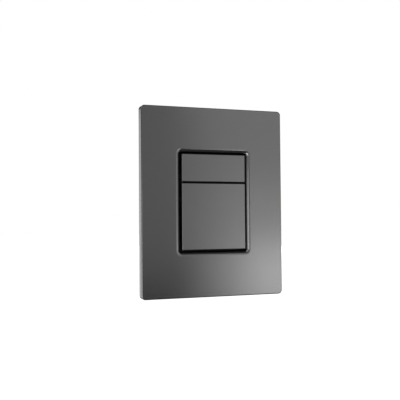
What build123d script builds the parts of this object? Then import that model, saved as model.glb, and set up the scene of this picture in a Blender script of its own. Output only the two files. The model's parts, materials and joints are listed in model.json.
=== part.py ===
"""Flush button plate for a cistern in a wall: a dual-flush plate that works by air.

Two hinged buttons stand a little proud of a metal-finished face plate. Each presses a rubber bellows in a carrier
behind the opening, and the air leaves by a nipple at the back. The plate snaps on to a frame that two
long studs hold to the cistern. Sizes are in millimetres.

X runs to the right, Y into the wall and Z up. The origin is the middle of the plate on the wall's face.
A depth is a distance in front of the wall, so a depth of 10 lies at y = -10.
"""

import os
from math import cos, pi, radians, sin

from build123d import *

# Face plate
plate_width = 156.0
plate_height = 197.0
plate_depth = 9.5
plate_corner_radius = 4.0
plate_edge_radius = 0.9
plate_front_wall = 2.4
plate_skirt_wall = 2.2
plate_wall_gap = 0.5
lip_radius = 4.5
collar_wall = 2.5
collar_depth = 7.0
opening_corner_radius = 1.5
plate_rib = 1.2
plate_rib_depth = 1.5
plate_rib_length = 16.0
side_rib_height = 25.0
end_rib_offset = 18.0

# Buttons
button_width = 70.4
small_button_height = 28.7
full_button_height = 69.0
button_side_gap = 1.4
button_end_gap = 1.5
button_rise = 0.2
button_proud = 0.6
split_gap = 1.55
button_corner_radius = 0.8
button_edge_radius = 0.7
button_cap = 2.0
button_wall = 1.8
button_skirt_depth = 5.5
button_rib = 1.2
button_rib_depth = 1.4
button_rib_offset = 17.0
press_boss_width = 9.0
press_boss_wall = 1.4
press_boss_depth = 3.0

# Snap hooks that hold the buttons in
hook_width = 5.0
hook_reach = 2.7
hook_lug_depth = 1.6
hook_lug_tip = 0.5
hook_clearance = 0.1
small_hook_inset = 5.5
full_hook_inset = 17.0

# Hinges and travel
hinge_inset = 4.4
hinge_pin_radius = 1.0
hinge_bore_clearance = 0.06
hinge_seat_clearance = 0.03
hinge_end_clearance = 0.4
hinge_ear_half = 2.4
hinge_ear_thickness = 4.0
hinge_ear_offset = 24.0
hinge_post_half = 2.0
hinge_post_corner = 0.5
hinge_snap = 0.15
hinge_lip = 0.4
hinge_corner = 1.2
hinge_post_thickness = 4.0
small_press_angle = 10.5
full_press_angle = 5.5

# Button carrier
carrier_wall = 2.0
carrier_floor = 2.0
carrier_depth = 9.0
carrier_collar_clearance = 0.9
carrier_collar_overlap = 2.0
carrier_corner_radius = 3.0
carrier_ear_thickness = 2.5
carrier_ear_inset = 7.0
carrier_ear_reach = 4.0
boss_width = 7.0
carrier_screw_radius = 1.2
carrier_screw_length = 7.0
carrier_screw_head_radius = 2.8
carrier_screw_head = 1.8
screw_bore_clearance = 0.05
screw_tip_clearance = 0.1
screw_ear_clearance = 0.3
hexagon_sides = 6

# Rubber buffers under the buttons' free edges
buffer_length = 8.0
buffer_width = 3.0
buffer_offset = 20.0
buffer_clearance = 0.3

# Air pumps
small_pump_inset = 13.75
full_pump_inset = 43.25
bellows_radius = 8.0
bellows_root_radius = 6.4
bellows_wall = 0.9
bellows_folds = 3
bellows_sides = 12
bellows_flange_radius = 9.2
bellows_flange = 1.4
bellows_top_radius = 5.6
bellows_boss_gap = 0.2
pump_cup_clearance = 0.2
pump_cup_wall = 1.4
pump_cup_depth = 6.0
pump_cup_floor = 2.0
pump_cup_flange = 2.0
pump_flange_margin = 1.8
nipple_radius = 2.25
nipple_bore = 1.1
nipple_length = 10.0
pump_hook_width = 5.0
pump_hook_thickness = 1.6
pump_hook_lug = 1.0
pump_hook_lug_depth = 2.0
pump_hook_clearance = 0.1

# Wall seal
seal_width = 2.4
seal_depth = 4.0
seal_clearance = 0.1

# Mounting frame
frame_clearance = 0.3
frame_depth = 6.0
frame_rail = 14.0
frame_web = 2.5
frame_flange = 1.8
frame_corner_radius = 3.0
frame_rib = 1.2
side_rib_inset = 10.0
end_rib_inset = 26.0
stud_lug_thickness = 2.5
stud_lug_margin = 0.8
stud_lug_clearance = 0.5
stud_slot_length = 11.0
stud_slot_clearance = 0.6

# Catch posts of the plate and the spring clips that grip them
post_inset = 23.5
post_thickness = 2.4
post_length = 8.0
post_tip_depth = 1.8
clip_thickness = 0.5
clip_length = 7.0
clip_foot = 3.2
clip_spread = 1.0
clip_grip_gap = 0.05
clip_grip_depth = 2.6
clip_tip_gap = 0.4
clip_slot_clearance = 0.2

# Fixing studs and washers
stud_spacing = 102.0
stud_radius = 3.0
stud_neck_radius = 2.6
stud_reach = 50.0
stud_head_radius = 6.0
stud_head = 3.0
washer_width = 14.0
washer_thickness = 0.8

# Depths of the main faces in front of the wall
rim_depth = plate_wall_gap
front_depth = rim_depth + plate_depth
front_wall_rear = front_depth - plate_front_wall
collar_rear = front_depth - collar_depth
button_front = front_depth + button_proud
cap_rear = button_front - button_cap
skirt_rear = button_front - button_skirt_depth
hinge_depth = skirt_rear
press_boss_rear = cap_rear - press_boss_depth
carrier_rim = collar_rear + carrier_collar_overlap
floor_front = carrier_rim - carrier_depth
floor_rear = floor_front - carrier_floor
ear_front = collar_rear
ear_rear = ear_front - carrier_ear_thickness
bellows_top = press_boss_rear - bellows_boss_gap
cup_bottom = floor_rear - pump_cup_depth
cup_rear = cup_bottom - pump_cup_floor
nipple_tip = cup_rear - nipple_length
flange_rear = floor_rear - pump_cup_flange
web_rear = frame_depth - frame_web

# Heights of the buttons' edges, hinges and pumps
stack_height = small_button_height + split_gap + full_button_height
small_hinge_edge = button_rise + stack_height / 2
small_free_edge = small_hinge_edge - small_button_height
full_hinge_edge = button_rise - stack_height / 2
full_free_edge = full_hinge_edge + full_button_height
small_hinge_height = small_hinge_edge - hinge_inset
full_hinge_height = full_hinge_edge + hinge_inset
small_pump_height = small_hinge_height - small_pump_inset
full_pump_height = full_hinge_height + full_pump_inset

# Outlines that fit one inside the other
cavity_width = plate_width - 2 * plate_skirt_wall
cavity_height = plate_height - 2 * plate_skirt_wall
cavity_corner_radius = max(plate_corner_radius - plate_skirt_wall, 0.5)
opening_width = button_width + 2 * button_side_gap
opening_height = stack_height + 2 * button_end_gap
collar_width = opening_width + 2 * collar_wall
collar_height = opening_height + 2 * collar_wall
tray_width = collar_width + 2 * carrier_collar_clearance
tray_height = collar_height + 2 * carrier_collar_clearance
carrier_width = tray_width + 2 * carrier_wall
carrier_height = tray_height + 2 * carrier_wall
seal_outer_width = cavity_width - 2 * seal_clearance
seal_outer_height = cavity_height - 2 * seal_clearance
seal_inner_width = seal_outer_width - 2 * seal_width
seal_inner_height = seal_outer_height - 2 * seal_width
frame_width = seal_inner_width - 2 * frame_clearance
frame_height = seal_inner_height - 2 * frame_clearance
frame_inner_width = frame_width - 2 * frame_rail
frame_inner_height = frame_height - 2 * frame_rail

# Places of screws, posts, studs and hinges, to either side of the middle
boss_x = carrier_width / 2 + carrier_ear_reach
carrier_ear_length = carrier_ear_reach + boss_width / 2
boss_z = carrier_height / 2 - carrier_ear_inset
post_x = (frame_width - frame_rail) / 2
post_z = frame_height / 2 - post_inset
stud_x = stud_spacing / 2
hinge_post_inner = hinge_ear_offset + hinge_ear_thickness / 2 + hinge_end_clearance
hinge_pin_end = button_width / 2 - button_wall - hinge_end_clearance
hinge_bore = hinge_pin_radius + hinge_bore_clearance
hinge_seat = hinge_pin_radius + hinge_seat_clearance
screw_pilot = carrier_screw_radius + screw_bore_clearance
screw_hole = carrier_screw_radius + screw_ear_clearance
cup_bore = 2 * (bellows_flange_radius + pump_cup_clearance)
pump_flange_width = cup_bore + 2 * (pump_cup_wall + pump_flange_margin)
stud_slot_width = 2 * (stud_radius + stud_slot_clearance / 2)
screw_tip = ear_rear + carrier_screw_length
stud_lug_width = washer_width + 2 * stud_lug_margin
stud_lug_inner = stud_x - stud_lug_width / 2
stud_lug_outer = max(frame_inner_width / 2 + frame_flange / 2, stud_x + stud_lug_width / 2)
washer_front = stud_lug_thickness + washer_thickness


def facing_room(depth, height=0.0):
    """A plane that faces the room at a depth in front of the wall, with X to the right and Z up."""
    return Plane(origin=(0, -depth, height), x_dir=(1, 0, 0), z_dir=(0, -1, 0))


def save(piece, name):
    """Label a finished piece and write it."""
    piece.label = name
    export_step(piece, f"parts/{name}.step")


os.makedirs("parts", exist_ok=True)

# Face plate: skirt, front wall, rounded lip and collar, with bosses, posts and ribs behind
with BuildPart() as face_plate:
    with BuildSketch(facing_room(rim_depth)):
        RectangleRounded(plate_width, plate_height, plate_corner_radius)
    extrude(amount=plate_depth)
    fillet(face_plate.faces().sort_by(Axis.Y)[0].edges(), plate_edge_radius)
    with BuildSketch(facing_room(rim_depth)):
        RectangleRounded(cavity_width, cavity_height, cavity_corner_radius)
    extrude(amount=front_wall_rear - rim_depth, mode=Mode.SUBTRACT)
    with BuildSketch(facing_room(collar_rear)):
        RectangleRounded(collar_width, collar_height, opening_corner_radius + collar_wall)
    extrude(amount=front_wall_rear - collar_rear)
    with BuildSketch(facing_room(front_wall_rear - plate_rib_depth)):
        with GridLocations(collar_width + plate_rib_length, 2 * side_rib_height, 2, 2):
            Rectangle(plate_rib_length, plate_rib)
        with GridLocations(2 * end_rib_offset, collar_height + plate_rib_length, 2, 2):
            Rectangle(plate_rib, plate_rib_length)
    extrude(amount=plate_rib_depth)
    with BuildSketch(facing_room(ear_front)):
        with GridLocations(2 * boss_x, 2 * boss_z, 2, 2):
            Rectangle(boss_width, boss_width)
    extrude(amount=front_wall_rear - ear_front)
    with BuildSketch(facing_room(post_tip_depth)):
        with GridLocations(2 * post_x, 2 * post_z, 2, 2):
            Rectangle(post_thickness, post_length)
    extrude(amount=front_wall_rear - post_tip_depth)
    with BuildSketch(facing_room(ear_front)):
        with GridLocations(2 * boss_x, 2 * boss_z, 2, 2):
            RegularPolygon(screw_pilot, hexagon_sides, major_radius=False)
    extrude(amount=screw_tip + screw_tip_clearance - ear_front, mode=Mode.SUBTRACT)
    with BuildSketch(facing_room(collar_rear)):
        RectangleRounded(opening_width, opening_height, opening_corner_radius)
    extrude(amount=collar_depth, mode=Mode.SUBTRACT)
    front_face = face_plate.faces().sort_by(Axis.Y)[0]
    fillet(front_face.inner_wires()[0].edges(), lip_radius)
save(face_plate.part, "face_plate")

# Wall seal: a foam strip inside the rim, a little proud of it
with BuildPart() as wall_seal:
    with BuildSketch(facing_room(0)):
        RectangleRounded(seal_outer_width, seal_outer_height, cavity_corner_radius)
        Rectangle(seal_inner_width, seal_inner_height, mode=Mode.SUBTRACT)
    extrude(amount=seal_depth)
save(wall_seal.part, "wall_seal")


def make_button(hinge_edge, free_edge, pump_height, hook_inset):
    """A button cap with its skirt, hinge ears, press boss, ribs and snap hooks."""
    upward = 1 if hinge_edge > free_edge else -1
    middle = (hinge_edge + free_edge) / 2
    height = abs(hinge_edge - free_edge)
    hinge_height = hinge_edge - upward * hinge_inset
    hook_height = free_edge + upward * hook_inset
    side = button_width / 2
    hook_front = collar_rear - hook_clearance
    hook_rear = hook_front - hook_lug_depth
    with BuildPart() as button:
        with BuildSketch(facing_room(skirt_rear, middle)):
            RectangleRounded(button_width, height, button_corner_radius)
        extrude(amount=button_skirt_depth)
        fillet(button.faces().sort_by(Axis.Y)[0].edges(), button_edge_radius)
        with BuildSketch(facing_room(skirt_rear, middle)):
            Rectangle(button_width - 2 * button_wall, height - 2 * button_wall)
        extrude(amount=cap_rear - skirt_rear, mode=Mode.SUBTRACT)
        # ribs under the cap, then the hollow boss that meets the bellows
        with BuildSketch(facing_room(cap_rear - button_rib_depth, middle)):
            with GridLocations(2 * button_rib_offset, 0, 2, 1):
                Rectangle(button_rib, height - 2 * button_wall)
        extrude(amount=button_rib_depth)
        with BuildSketch(facing_room(press_boss_rear, pump_height)):
            Rectangle(press_boss_width, press_boss_width)
            Rectangle(
                press_boss_width - 2 * press_boss_wall,
                press_boss_width - 2 * press_boss_wall,
                mode=Mode.SUBTRACT,
            )
        extrude(amount=press_boss_depth)
        # ears that hang from the cap round the hinge pin
        for ear_side in (-1, 1):
            ear_start = ear_side * hinge_ear_offset - hinge_ear_thickness / 2
            with BuildSketch(Plane.YZ.offset(ear_start)):
                with BuildLine():
                    Polyline(
                        (-cap_rear, hinge_height - hinge_ear_half),
                        (-hinge_depth + hinge_ear_half - hinge_corner, hinge_height - hinge_ear_half),
                        (-hinge_depth + hinge_ear_half, hinge_height - hinge_ear_half + hinge_corner),
                        (-hinge_depth + hinge_ear_half, hinge_height + hinge_ear_half - hinge_corner),
                        (-hinge_depth + hinge_ear_half - hinge_corner, hinge_height + hinge_ear_half),
                        (-cap_rear, hinge_height + hinge_ear_half),
                        close=True,
                    )
                make_face()
                with Locations((-hinge_depth, hinge_height)):
                    Circle(hinge_bore, mode=Mode.SUBTRACT)
            extrude(amount=hinge_ear_thickness)
        # hooks on the side walls that catch behind the collar
        for hook_side in (-1, 1):
            with BuildSketch(Plane.XY.offset(hook_height - hook_width / 2)):
                with BuildLine():
                    Polyline(
                        (hook_side * (side - button_wall), -cap_rear),
                        (hook_side * (side - button_wall), -hook_rear),
                        (hook_side * side, -hook_rear),
                        (hook_side * (side + hook_reach), -hook_front + hook_lug_tip),
                        (hook_side * (side + hook_reach), -hook_front),
                        (hook_side * side, -hook_front),
                        (hook_side * side, -cap_rear),
                        close=True,
                    )
                make_face()
            extrude(amount=hook_width)
    return button.part


save(
    make_button(small_hinge_edge, small_free_edge, small_pump_height, small_hook_inset),
    "small_flush_button",
)
save(
    make_button(full_hinge_edge, full_free_edge, full_pump_height, full_hook_inset),
    "full_flush_button",
)

# Hinge pins, trapped between the side walls of their buttons
for name, hinge_height in (
    ("small_hinge_pin", small_hinge_height),
    ("full_hinge_pin", full_hinge_height),
):
    with BuildPart() as hinge_pin:
        with BuildSketch(Plane.YZ.offset(-hinge_pin_end)):
            with Locations((-hinge_depth, hinge_height)):
                Circle(hinge_pin_radius)
        extrude(amount=2 * hinge_pin_end)
    save(hinge_pin.part, name)

# Button carrier: a tray round the collar with screw ears, hinge posts and seats for the pumps
with BuildPart() as button_carrier:
    with BuildSketch(facing_room(floor_rear)):
        RectangleRounded(carrier_width, carrier_height, carrier_corner_radius)
    extrude(amount=carrier_rim - floor_rear)
    with BuildSketch(facing_room(ear_rear)):
        with GridLocations(carrier_width + carrier_ear_length, 2 * boss_z, 2, 2):
            Rectangle(carrier_ear_length, boss_width)
        with GridLocations(2 * boss_x + boss_width / 2 - screw_hole, 2 * boss_z, 2, 2):
            Rectangle(boss_width / 2 + screw_hole, 2 * screw_hole, mode=Mode.SUBTRACT)
    extrude(amount=carrier_ear_thickness)
    with BuildSketch(facing_room(floor_front)):
        RectangleRounded(tray_width, tray_height, max(carrier_corner_radius - carrier_wall, 0.5))
    extrude(amount=carrier_depth, mode=Mode.SUBTRACT)
    # posts with snap seats, open to the room, that hold the ends of the hinge pins
    post_front = -hinge_depth - hinge_post_half
    post_half_outline = [
        (-floor_front, hinge_post_half),
        (post_front + hinge_post_corner, hinge_post_half),
        (post_front, hinge_post_half - hinge_post_corner),
        (post_front, hinge_seat + hinge_snap),
        (-hinge_depth - hinge_pin_radius, hinge_pin_radius - hinge_snap),
        (-hinge_depth - hinge_pin_radius + hinge_lip, hinge_seat),
        (-hinge_depth + hinge_seat, hinge_seat),
    ]
    post_outline = post_half_outline + [(y, -z) for y, z in reversed(post_half_outline)]
    for post_side in (-1, 1):
        post_start = hinge_post_inner if post_side > 0 else -hinge_post_inner - hinge_post_thickness
        for hinge_height in (small_hinge_height, full_hinge_height):
            with BuildSketch(Plane.YZ.offset(post_start)):
                with BuildLine():
                    Polyline(*[(y, hinge_height + z) for y, z in post_outline], close=True)
                make_face()
            extrude(amount=hinge_post_thickness)
    # holes for the bellows
    with BuildSketch(facing_room(floor_rear)):
        with Locations((0, small_pump_height), (0, full_pump_height)):
            Rectangle(cup_bore, cup_bore)
    extrude(amount=carrier_floor, mode=Mode.SUBTRACT)
    # room for the frame's stud lugs beside the tray
    with BuildSketch(facing_room(-stud_lug_clearance)):
        with GridLocations(2 * stud_x, 0, 2, 1):
            Rectangle(
                stud_lug_width + 2 * stud_lug_clearance,
                stud_lug_width + 2 * stud_lug_clearance,
            )
    extrude(amount=carrier_rim + stud_lug_clearance, mode=Mode.SUBTRACT)
    # snap hooks behind the floor that hold the pump cups by their flanges
    hook_inner = pump_flange_width / 2 + pump_hook_clearance
    lug_front = flange_rear - pump_hook_clearance
    for pump_height in (small_pump_height, full_pump_height):
        for hook_side in (-1, 1):
            with BuildSketch(Plane.XY.offset(pump_height - pump_hook_width / 2)):
                with BuildLine():
                    Polyline(
                        (hook_side * hook_inner, -floor_rear),
                        (hook_side * hook_inner, -lug_front),
                        (hook_side * (hook_inner - pump_hook_lug), -lug_front),
                        (hook_side * hook_inner, -lug_front + pump_hook_lug_depth),
                        (hook_side * (hook_inner + pump_hook_thickness), -lug_front + pump_hook_lug_depth),
                        (hook_side * (hook_inner + pump_hook_thickness), -floor_rear),
                        close=True,
                    )
                make_face()
            extrude(amount=pump_hook_width)
save(button_carrier.part, "button_carrier")

# Carrier screws, driven from behind into the bosses of the face plate
with BuildPart() as carrier_screws:
    with BuildSketch(facing_room(ear_rear - carrier_screw_head)):
        with GridLocations(2 * boss_x, 2 * boss_z, 2, 2):
            RegularPolygon(carrier_screw_head_radius, hexagon_sides)
    extrude(amount=carrier_screw_head)
    with BuildSketch(facing_room(ear_rear)):
        with GridLocations(2 * boss_x, 2 * boss_z, 2, 2):
            Circle(carrier_screw_radius)
    extrude(amount=carrier_screw_length)
save(carrier_screws.part, "carrier_screws")


def make_buffers(free_edge, hinge_edge, angle):
    """Two rubber pads on the carrier's floor, as high as the pressed button's free edge lets them be."""
    inward = 1 if hinge_edge > free_edge else -1
    lever = abs(hinge_edge - free_edge) - hinge_inset
    buffer_top = skirt_rear - lever * sin(radians(angle)) - buffer_clearance
    with BuildPart() as buffers:
        with BuildSketch(facing_room(floor_front, free_edge + inward * button_wall / 2)):
            with GridLocations(2 * buffer_offset, 0, 2, 1):
                Rectangle(buffer_length, buffer_width)
        extrude(amount=buffer_top - floor_front)
    return buffers.part


save(make_buffers(small_free_edge, small_hinge_edge, small_press_angle), "small_button_buffers")
save(make_buffers(full_free_edge, full_hinge_edge, full_press_angle), "full_button_buffers")


def make_concertina(rings, height):
    """A many-sided body about a pump's axis. Flat walls join the rings, each a depth and a radius."""
    right = [(radius, depth) for depth, radius in rings]
    left = [(-radius, depth) for depth, radius in reversed(rings)]
    widest = max(radius for depth, radius in rings)
    with BuildPart() as concertina:
        for side in range(bellows_sides // 2):
            turn = 2 * pi * side / bellows_sides
            upright = Plane(
                origin=(0, 0, height),
                x_dir=(cos(turn), 0, sin(turn)),
                z_dir=(sin(turn), 0, -cos(turn)),
            )
            with BuildSketch(upright):
                with BuildLine():
                    Polyline(*right, *left, close=True)
                make_face()
            extrude(amount=2 * widest, both=True, mode=Mode.INTERSECT if side else Mode.ADD)
    return concertina.part


def make_bellows(height):
    """A rubber bellows, open behind, whose flange lies in the pump cup."""
    fold_start = cup_bottom + bellows_flange
    fold_pitch = (bellows_top - fold_start) / (bellows_folds + 0.5)
    folds = []
    for fold in range(bellows_folds):
        folds.append((fold_start + fold * fold_pitch, bellows_root_radius))
        folds.append((fold_start + (fold + 0.5) * fold_pitch, bellows_radius))
    folds.append((fold_start + bellows_folds * fold_pitch, bellows_root_radius))
    outside = [(cup_bottom, bellows_flange_radius), (fold_start, bellows_flange_radius), *folds]
    outside.append((bellows_top, bellows_top_radius))
    hollow = [(depth, radius - bellows_wall) for depth, radius in folds]
    hollow.insert(0, (cup_bottom, bellows_root_radius - bellows_wall))
    hollow.append((bellows_top - bellows_wall, bellows_top_radius - bellows_wall))
    with BuildPart() as bellows:
        add(make_concertina(outside, height))
        add(make_concertina(hollow, height), mode=Mode.SUBTRACT)
    return bellows.part


def make_pump_cup(height):
    """A square cup behind the carrier's floor that seats the bellows and ends in a plain hose nipple."""
    with BuildPart() as cup:
        with BuildSketch(facing_room(flange_rear, height)):
            Rectangle(pump_flange_width, pump_flange_width)
        extrude(amount=pump_cup_flange)
        with BuildSketch(facing_room(cup_rear, height)):
            Rectangle(cup_bore + 2 * pump_cup_wall, cup_bore + 2 * pump_cup_wall)
        extrude(amount=flange_rear - cup_rear)
        with BuildSketch(facing_room(cup_bottom, height)):
            Rectangle(cup_bore, cup_bore)
        extrude(amount=pump_cup_depth, mode=Mode.SUBTRACT)
        with BuildSketch(facing_room(nipple_tip, height)):
            Circle(nipple_radius)
        extrude(amount=nipple_length)
        with BuildSketch(facing_room(nipple_tip, height)):
            Circle(nipple_bore)
        extrude(amount=nipple_length + pump_cup_floor, mode=Mode.SUBTRACT)
    return cup.part


for name, pump_height in (("small", small_pump_height), ("full", full_pump_height)):
    save(make_bellows(pump_height), f"{name}_bellows")
    save(make_pump_cup(pump_height), f"{name}_pump_cup")

# Mounting frame: channel rails with cross ribs, stud lugs at the sides and slots for the clips
with BuildPart() as mounting_frame:
    with BuildSketch(facing_room(0)):
        RectangleRounded(frame_width, frame_height, frame_corner_radius)
        Rectangle(frame_inner_width, frame_inner_height, mode=Mode.SUBTRACT)
    extrude(amount=frame_depth)
    with BuildSketch(facing_room(0)):
        Rectangle(frame_width - 2 * frame_flange, frame_height - 2 * frame_flange)
        Rectangle(
            frame_inner_width + 2 * frame_flange,
            frame_inner_height + 2 * frame_flange,
            mode=Mode.SUBTRACT,
        )
    extrude(amount=web_rear, mode=Mode.SUBTRACT)
    with BuildSketch(facing_room(0)):
        with GridLocations(2 * post_x, (post_z - side_rib_inset) * 2 / 3, 2, 4):
            Rectangle(frame_rail - frame_flange, frame_rib)
        with GridLocations(post_x - end_rib_inset, frame_height - frame_rail, 3, 2):
            Rectangle(frame_rib, frame_rail - frame_flange)
    extrude(amount=web_rear)
    # lugs for the studs, clear in front for the washers and heads
    with BuildSketch(facing_room(stud_lug_thickness)):
        with GridLocations(2 * stud_x, 0, 2, 1):
            Rectangle(stud_lug_width, stud_lug_width)
    extrude(amount=frame_depth - stud_lug_thickness, mode=Mode.SUBTRACT)
    with BuildSketch(facing_room(0)):
        with GridLocations(stud_lug_inner + stud_lug_outer, 0, 2, 1):
            Rectangle(stud_lug_outer - stud_lug_inner, stud_lug_width)
    extrude(amount=stud_lug_thickness)
    with BuildSketch(facing_room(0)):
        with GridLocations(2 * stud_x, 0, 2, 1):
            SlotOverall(stud_slot_length, stud_slot_width)
    extrude(amount=stud_lug_thickness, mode=Mode.SUBTRACT)
    # slots for the clips
    with BuildSketch(facing_room(web_rear)):
        with GridLocations(2 * post_x, 2 * post_z, 2, 2):
            Rectangle(
                post_thickness + 2 * (clip_spread + clip_thickness + clip_slot_clearance),
                post_length + 2 * clip_slot_clearance,
            )
    extrude(amount=frame_web, mode=Mode.SUBTRACT)
save(mounting_frame.part, "mounting_frame")


def make_clip(across, up):
    """A spring clip bent from strip: feet on the frame's web, legs that pinch the post, and a closed end."""
    leg = post_thickness / 2 + clip_spread
    grip = post_thickness / 2 + clip_grip_gap
    end = grip + clip_spread / 2
    tip = post_tip_depth - clip_tip_gap
    foot_end = leg + clip_thickness + clip_foot
    outside = [
        (foot_end, frame_depth + clip_thickness),
        (foot_end, frame_depth),
        (leg + clip_thickness, frame_depth),
        (grip + clip_thickness, clip_grip_depth),
        (end + clip_thickness, tip - clip_thickness),
    ]
    inside = [(end, tip), (grip, clip_grip_depth), (leg, frame_depth + clip_thickness)]
    other_side = [(-offset, depth) for offset, depth in reversed(outside)]
    other_inside = [(-offset, depth) for offset, depth in reversed(inside)]
    section = outside + other_side + other_inside + inside
    with BuildPart() as clip:
        with BuildSketch(Plane.XY.offset(up * post_z - clip_length / 2)):
            with BuildLine():
                Polyline(*[(across * post_x + offset, -depth) for offset, depth in section], close=True)
            make_face()
        extrude(amount=clip_length)
    return clip.part


for level, up in (("upper", 1), ("lower", -1)):
    for side, across in (("left", -1), ("right", 1)):
        save(make_clip(across, up), f"{level}_{side}_clip")

# Fixing studs: hexagon heads on the frame's lugs, plain necks, and shanks that go into the cistern
with BuildPart() as fixing_studs:
    with BuildSketch(facing_room(washer_front)):
        with GridLocations(2 * stud_x, 0, 2, 1):
            RegularPolygon(stud_head_radius, hexagon_sides)
    extrude(amount=stud_head)
    with BuildSketch(facing_room(0)):
        with GridLocations(2 * stud_x, 0, 2, 1):
            Circle(stud_neck_radius)
    extrude(amount=washer_front)
    with BuildSketch(facing_room(-stud_reach)):
        with GridLocations(2 * stud_x, 0, 2, 1):
            Circle(stud_radius)
    extrude(amount=stud_reach)
save(fixing_studs.part, "fixing_studs")

# Square washers between the stud heads and the frame's lugs
with BuildPart() as stud_washers:
    with BuildSketch(facing_room(stud_lug_thickness)):
        with GridLocations(2 * stud_x, 0, 2, 1):
            Rectangle(washer_width, washer_width)
            Circle(stud_radius + stud_slot_clearance / 2, mode=Mode.SUBTRACT)
    extrude(amount=washer_thickness)
save(stud_washers.part, "stud_washers")
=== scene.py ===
"""Looks of a flush button plate: finishes, rounded mouldings, rubber bellows and threaded fixings.

The solids come in as a fixed frame, in metres, with X to the right, Y into the wall and Z up. Each operator
dresses one piece or one group of like pieces, and the last one sets the stage.
"""

import json
from math import cos, pi, radians, sin, tan

import bmesh
import bpy
from bpy.props import FloatProperty, FloatVectorProperty, IntProperty, PointerProperty
from mathutils import Matrix, Vector


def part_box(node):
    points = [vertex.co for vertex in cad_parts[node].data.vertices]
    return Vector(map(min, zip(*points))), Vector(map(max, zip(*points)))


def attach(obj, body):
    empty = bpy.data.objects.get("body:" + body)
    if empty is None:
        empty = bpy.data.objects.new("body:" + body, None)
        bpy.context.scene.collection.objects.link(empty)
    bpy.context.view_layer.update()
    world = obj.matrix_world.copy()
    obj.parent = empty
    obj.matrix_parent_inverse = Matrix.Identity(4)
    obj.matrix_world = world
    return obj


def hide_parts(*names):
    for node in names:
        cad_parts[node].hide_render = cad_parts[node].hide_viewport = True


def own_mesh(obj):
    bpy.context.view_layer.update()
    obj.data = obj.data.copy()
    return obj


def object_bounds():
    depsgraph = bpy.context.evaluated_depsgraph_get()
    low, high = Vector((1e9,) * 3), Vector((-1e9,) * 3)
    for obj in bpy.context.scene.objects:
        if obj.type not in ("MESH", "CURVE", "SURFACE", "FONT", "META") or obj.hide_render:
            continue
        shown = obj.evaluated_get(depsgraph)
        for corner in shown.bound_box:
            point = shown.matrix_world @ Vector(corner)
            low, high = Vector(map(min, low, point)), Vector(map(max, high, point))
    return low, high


bl_info = {
    "name": "Flush button plate",
    "version": (1, 0, 0),
    "blender": (4, 5, 0),
    "location": "View3D > Sidebar > Flush plate",
    "description": "Dresses the solids of a dual-flush button plate and sets its stage",
    "category": "Object",
}

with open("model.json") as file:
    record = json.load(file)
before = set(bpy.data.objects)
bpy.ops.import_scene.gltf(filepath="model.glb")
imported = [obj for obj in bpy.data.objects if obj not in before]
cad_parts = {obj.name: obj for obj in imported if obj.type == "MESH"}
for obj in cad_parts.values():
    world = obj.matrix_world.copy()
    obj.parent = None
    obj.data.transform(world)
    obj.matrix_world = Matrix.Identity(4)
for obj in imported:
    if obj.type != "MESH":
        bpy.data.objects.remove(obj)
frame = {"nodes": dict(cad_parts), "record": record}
solid_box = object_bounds()

MM = 0.001
PHOTO_SIDE = 400
SENSOR_WIDTH = 36.0
WHITE = (1.0, 1.0, 1.0, 1.0)
BUTTON_SIZES = ("small", "full")

SAME_POINT = 0.002 * MM  # points nearer to each other than this are one
FLAT_ANGLE = radians(0.5)  # faces that turn by less than this are one
MOULDED_ANGLE = radians(30)  # edges of a solid that turn by more than this are rounded
CUP_ANGLE = radians(60)  # edges of a pump cup that turn by more than this are rounded
SHADED_ANGLE = radians(40)  # edges that turn by more than this are shaded as sharp
FOLD_SEGMENTS = 4  # faces across a rounded fold
LINE_ROUGHENING = 0.2  # how much roughness drawn lines add


def slot_colour(slot):
    """The colour that the record gives to a material slot."""
    return next(m["base_color"] for m in frame["record"]["materials"] if m["slot"] == slot)


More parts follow.
